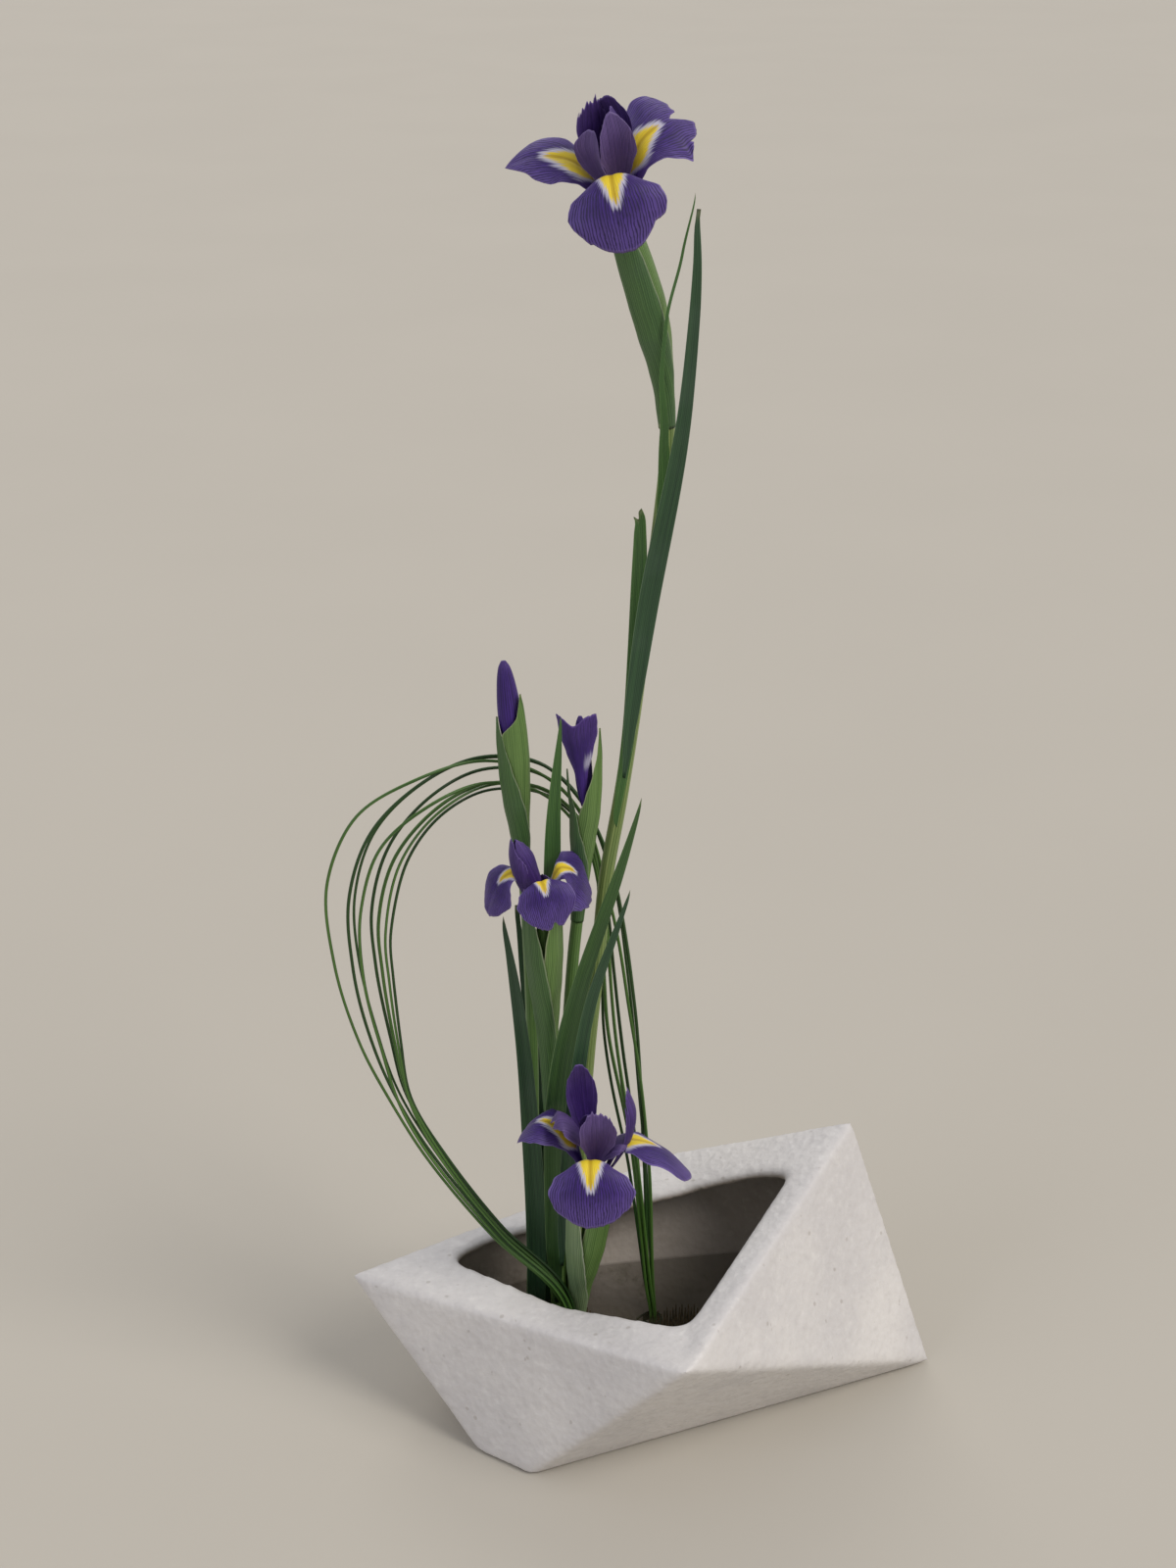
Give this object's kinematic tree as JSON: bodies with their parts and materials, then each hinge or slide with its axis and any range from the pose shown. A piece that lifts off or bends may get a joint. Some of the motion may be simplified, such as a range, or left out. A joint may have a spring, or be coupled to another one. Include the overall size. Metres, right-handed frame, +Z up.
{
  "type": "irises in a vase",
  "caption": "Cut irises, buds, leaves and a loop of bent grass standing on pin holders in a faceted stoneware vase.",
  "frame": {"origin": "middle of the arrangement's footprint box, on the surface that the vase stands on", "axes": "+Z up, +X towards the vase's raised right peak, -Y towards the viewer's side"},
  "size_m": [0.3028, 0.186, 0.6469],
  "materials": {
    "glaze": "matte speckled off-white glaze",
    "lead": "dark bronze pins in a weighted base",
    "stem": "smooth waxy stem",
    "sheath": "ribbed yellow-green sheath",
    "leaf": "waxy dark blue-green leaf with fine parallel veins",
    "grass": "satin green grass",
    "tie": "matte dark green tape",
    "petal": "velvety violet petal with fine veins and a yellow signal",
    "style": "velvety violet with paler edges"
  },
  "bodies": {
    "root": {"dark_leaf": "leaf", "grass_blade_1": "grass", "grass_blade_2": "grass", "grass_blade_3": "grass", "grass_blade_4": "grass", "grass_blade_5": "grass", "grass_blade_6": "grass", "grass_blade_7": "grass", "grass_blade_8": "grass", "grass_tie": "tie", "half_bud": "petal", "half_bud_petal": "petal", "half_bud_spathe_inner": "sheath", "half_bud_spathe_outer": "sheath", "half_bud_stem": "stem", "kenzan_left": "lead", "kenzan_right": "lead", "left_broad_leaf": "leaf", "left_bud": "petal", "left_bud_spathe_inner": "sheath", "left_bud_spathe_outer": "sheath", "left_bud_stem": "stem", "low_fall_front": "petal", "low_fall_left": "petal", "low_fall_right": "petal", "low_spathe_inner": "sheath", "low_spathe_outer": "sheath", "low_standard_back": "petal", "low_standard_left": "petal", "low_standard_right": "petal", "low_stem": "stem", "low_style": "style", "lower_crossing_leaf": "leaf", "middle_fall_back": "petal", "middle_fall_front": "petal", "middle_fall_left": "petal", "middle_leaf": "leaf", "middle_spathe_inner": "sheath", "middle_spathe_outer": "sheath", "middle_standard_back": "petal", "middle_standard_left": "petal", "middle_standard_right": "petal", "middle_stem": "stem", "middle_style": "style", "tall_cut_leaf": "sheath", "tall_fall_back": "petal", "tall_fall_front": "petal", "tall_fall_left": "petal", "tall_long_leaf": "leaf", "tall_sheath_leaf": "sheath", "tall_spathe_inner": "sheath", "tall_spathe_outer": "sheath", "tall_standard_back": "petal", "tall_standard_left": "petal", "tall_standard_right": "petal", "tall_stem": "stem", "tall_style": "style", "upper_crossing_leaf": "leaf", "vase": "glaze"}
  },
  "joints": []
}
